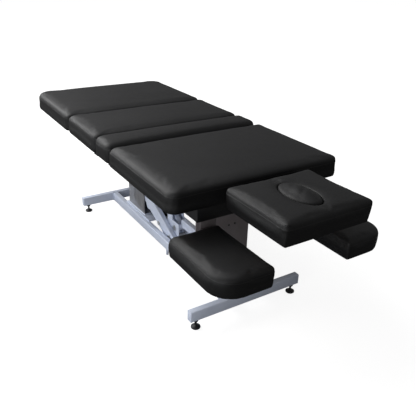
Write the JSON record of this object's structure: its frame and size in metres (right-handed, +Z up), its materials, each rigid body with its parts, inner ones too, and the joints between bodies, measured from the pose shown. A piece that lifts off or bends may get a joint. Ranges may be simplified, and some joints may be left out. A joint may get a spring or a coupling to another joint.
{
  "type": "electric massage table",
  "caption": "Electric massage table with a sectioned black vinyl top, tilting back, knee fold, sliding face rest, swing-out arm rests and a parallel-link lift on a low floor frame.",
  "frame": {"origin": "Middle of the table's outline, on the floor under the levelling feet.", "axes": "+X towards the face rest, +Y towards the far long side, +Z up."},
  "size_m": [1.9835, 0.7594, 0.6484],
  "materials": {
    "vinyl": "black vinyl",
    "plywood": "sealed",
    "base_paint": "powder coat",
    "column_paint": "powder coat",
    "plate_paint": "powder coat",
    "black_paint": "powder coat",
    "zinc": "zinc plated",
    "black_plastic": "moulded"
  },
  "bodies": {
    "base": {"head_crossbar": "base_paint", "leg_crossbar": "base_paint", "rail_near": "base_paint", "rail_far": "base_paint", "base_plate": "base_paint", "column": "column_paint", "lower_column_shaft": "zinc", "upper_column_shaft": "zinc", "actuator_base_pin": "zinc"},
    "lower_links": {"lower_link_near": "base_paint", "lower_link_far": "base_paint", "lower_tie_tube": "base_paint", "lower_carriage_shaft": "zinc", "actuator_top_pin": "zinc"},
    "upper_links": {"upper_link": "base_paint"},
    "carriage": {"carriage_frame": "base_paint", "head_plate": "plate_paint", "upper_frame": "black_paint", "control_box": "black_plastic", "power_inlet": "black_plastic", "seat_board": "plywood", "seat_cushion": "vinyl", "upper_carriage_shaft": "zinc", "back_pin_near": "zinc", "back_pin_far": "zinc", "thigh_pin_near": "zinc", "thigh_pin_far": "zinc"},
    "actuator_body": {"actuator_housing": "black_plastic"},
    "actuator_stem": {"actuator_rod": "zinc"},
    "back": {"back_frame": "black_paint", "back_board": "plywood", "back_cushion": "vinyl", "arm_bracket_near": "plate_paint", "arm_bracket_far": "plate_paint"},
    "back_strut_body": {"back_strut_cylinder": "black_plastic"},
    "back_strut_stem": {"back_strut_rod": "zinc"},
    "thigh": {"thigh_frame": "black_paint", "thigh_board": "plywood", "thigh_cushion": "vinyl", "knee_pin_near": "zinc", "knee_pin_far": "zinc"},
    "thigh_strut_body": {"thigh_strut_cylinder": "black_plastic"},
    "thigh_strut_stem": {"thigh_strut_rod": "zinc"},
    "leg": {"leg_frame": "black_paint", "leg_board": "plywood", "leg_cushion": "vinyl"},
    "head_support": {"head_bracket": "zinc"},
    "head": {"head_hinge": "black_paint", "head_board": "plywood", "head_cushion": "vinyl"},
    "plug": {"face_plug": "vinyl"},
    "arm_near": {"arm_board_near": "plywood", "arm_cushion_near": "vinyl"},
    "arm_far": {"arm_board_far": "plywood", "arm_cushion_far": "vinyl"},
    "foot_head_near": {"foot_head_near": "black_plastic"},
    "foot_head_far": {"foot_head_far": "black_plastic"},
    "foot_leg_near": {"foot_leg_near": "black_plastic"},
    "foot_leg_far": {"foot_leg_far": "black_plastic"}
  },
  "joints": [
    {"name": "lift", "type": "hinge", "parent": "base", "child": "lower_links", "pos_m": [-0.395, 0, 0.277], "axis": [0, -1, 0], "range_deg": [0, 33]},
    {"name": "upper_link_swing", "type": "hinge", "parent": "base", "child": "upper_links", "pos_m": [-0.386, 0, 0.331], "axis": [0, -1, 0], "range_deg": [0, 33]},
    {"name": "carriage_level", "type": "hinge", "parent": "lower_links", "child": "carriage", "pos_m": [0.00496, 0, 0.08192], "axis": [0, 1, 0], "range_deg": [0, 33]},
    {"name": "actuator_swing", "type": "hinge", "parent": "base", "child": "actuator_body", "pos_m": [-0.435, 0, 0.135], "axis": [0, -1, 0], "range_deg": [0, 27.6]},
    {"name": "actuator_stroke", "type": "slide", "parent": "actuator_body", "child": "actuator_stem", "axis": [0.998, 0, -0.0628], "range_m": [0, 0.0778]},
    {"name": "back_tilt", "type": "hinge", "parent": "carriage", "child": "back", "pos_m": [0.077, 0, 0.615], "axis": [0, -1, 0], "range_deg": [0, 55]},
    {"name": "back_strut_swing", "type": "hinge", "parent": "carriage", "child": "back_strut_body", "pos_m": [0.06, 0, 0.42], "axis": [0, -1, 0], "range_deg": [0, 28.4]},
    {"name": "back_strut_stroke", "type": "slide", "parent": "back_strut_body", "child": "back_strut_stem", "axis": [0.8963, 0, 0.4434], "range_m": [0, 0.1358]},
    {"name": "thigh_tilt", "type": "hinge", "parent": "carriage", "child": "thigh", "pos_m": [-0.08, 0, 0.615], "axis": [0, 1, 0], "range_deg": [0, 22]},
    {"name": "thigh_strut_swing", "type": "hinge", "parent": "carriage", "child": "thigh_strut_body", "pos_m": [-0.05, 0, 0.46], "axis": [0, 1, 0], "range_deg": [0, 10.5]},
    {"name": "thigh_strut_stroke", "type": "slide", "parent": "thigh_strut_body", "child": "thigh_strut_stem", "axis": [-0.9055, 0, 0.4244], "range_m": [0, 0.0459]},
    {"name": "knee_fold", "type": "hinge", "parent": "thigh", "child": "leg", "pos_m": [-0.453, 0, 0.5416], "axis": [0, -1, 0], "range_deg": [0, 41.8]},
    {"name": "head_slide", "type": "slide", "parent": "back", "child": "head_support", "axis": [1, 0, 0], "range_m": [0, 0.08]},
    {"name": "head_tilt", "type": "hinge", "parent": "head_support", "child": "head", "pos_m": [0.648, 0, 0.5416], "axis": [0, -1, 0], "range_deg": [0, 20]},
    {"name": "plug_lift", "type": "slide", "parent": "head", "child": "plug", "axis": [0, 0, 1], "range_m": [0, 0.09]},
    {"name": "arm_swing_near", "type": "hinge", "parent": "back", "child": "arm_near", "pos_m": [0.66, -0.271, 0.375], "axis": [0, 0, -1], "range_deg": [0, 45]},
    {"name": "arm_swing_far", "type": "hinge", "parent": "back", "child": "arm_far", "pos_m": [0.66, 0.271, 0.375], "axis": [0, 0, 1], "range_deg": [0, 45]},
    {"name": "foot_head_near_screw", "type": "slide", "parent": "base", "child": "foot_head_near", "axis": [0, 0, -1], "range_m": [0, 0.012]},
    {"name": "foot_head_far_screw", "type": "slide", "parent": "base", "child": "foot_head_far", "axis": [0, 0, -1], "range_m": [0, 0.012]},
    {"name": "foot_leg_near_screw", "type": "slide", "parent": "base", "child": "foot_leg_near", "axis": [0, 0, -1], "range_m": [0, 0.012]},
    {"name": "foot_leg_far_screw", "type": "slide", "parent": "base", "child": "foot_leg_far", "axis": [0, 0, -1], "range_m": [0, 0.012]}
  ],
  "couplings": [
    {"joint": "upper_link_swing", "follows": "lift", "ratio": 1},
    {"joint": "carriage_level", "follows": "lift", "ratio": 1},
    {"joint": "actuator_swing", "follows": "lift", "ratio": 0.83544},
    {"joint": "actuator_stroke", "follows": "lift", "m_per_rad": 0.13495},
    {"joint": "back_strut_swing", "follows": "back_tilt", "ratio": 0.51459},
    {"joint": "back_strut_stroke", "follows": "back_tilt", "m_per_rad": 0.1414},
    {"joint": "thigh_strut_swing", "follows": "thigh_tilt", "ratio": 0.47703},
    {"joint": "thigh_strut_stroke", "follows": "thigh_tilt", "m_per_rad": 0.11951},
    {"joint": "knee_fold", "follows": "thigh_tilt", "ratio": 1.9}
  ]
}
